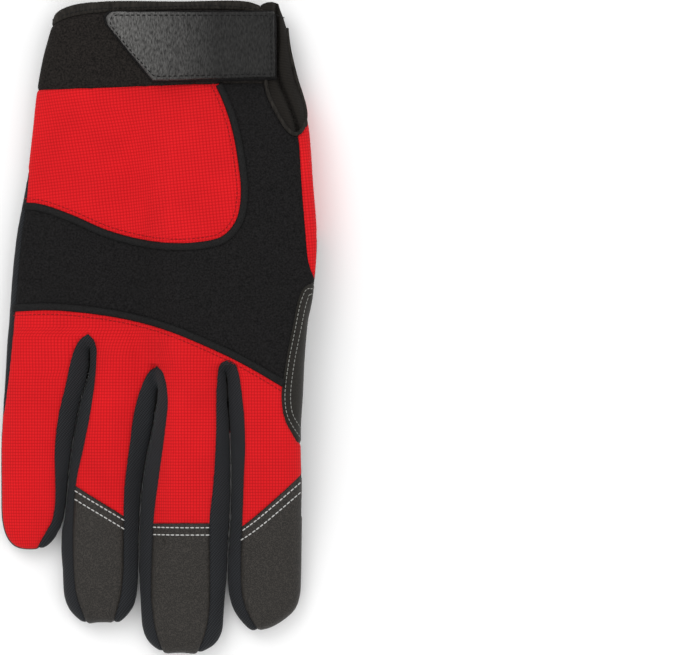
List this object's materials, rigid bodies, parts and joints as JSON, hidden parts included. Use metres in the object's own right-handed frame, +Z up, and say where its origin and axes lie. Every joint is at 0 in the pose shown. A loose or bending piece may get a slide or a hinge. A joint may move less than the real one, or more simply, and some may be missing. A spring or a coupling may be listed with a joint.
{
  "type": "mechanic glove",
  "caption": "Right-hand mechanic glove lying back up: red stretch back, black neoprene band, grip palm, leather fingertips, strapped cuff, thumb folded under the palm.",
  "frame": {"origin": "centre of the bounding box at its bottom, on the surface that the glove lies on", "axes": "+Y from the fingertips to the cuff's mouth, +X to the thumb's side, +Z up, out of the back of the hand"},
  "size_m": [0.1204, 0.2477, 0.029],
  "materials": {
    "red_stretch": "matt stretch weave with a fine grid",
    "neoprene": "matt, fine grain",
    "knit_tape": "matt ribbed knit",
    "leatherette": "satin, wrinkled grain",
    "piping": "matt",
    "cap_leather": "satin, pebble grain",
    "fourchette_knit": "matt fine knit",
    "suede": "matt brushed suede",
    "pad_leather": "satin, embossed with small round dots"
  },
  "bodies": {
    "root": {"rim_binding": "knit_tape", "cuff_band": "neoprene", "vent_binding": "knit_tape", "vent_gusset": "knit_tape", "wrist_strap": "neoprene", "strap_face": "leatherette", "back_panel": "red_stretch", "upper_piping": "piping", "knuckle_band": "neoprene", "lower_piping": "piping", "finger_back": "red_stretch", "fingertip_cap_ring": "cap_leather", "fingertip_cap_middle": "cap_leather", "fingertip_cap_index": "cap_leather", "fourchette_pinky_ring": "fourchette_knit", "fourchette_ring_middle": "fourchette_knit", "fourchette_middle_index": "fourchette_knit", "palm": "suede", "heel_pad": "pad_leather", "knuckle_pad": "pad_leather", "thumb_back": "red_stretch", "thumb_front": "suede", "thumb_tip_cap": "cap_leather", "thumb_patch": "suede"}
  },
  "joints": []
}
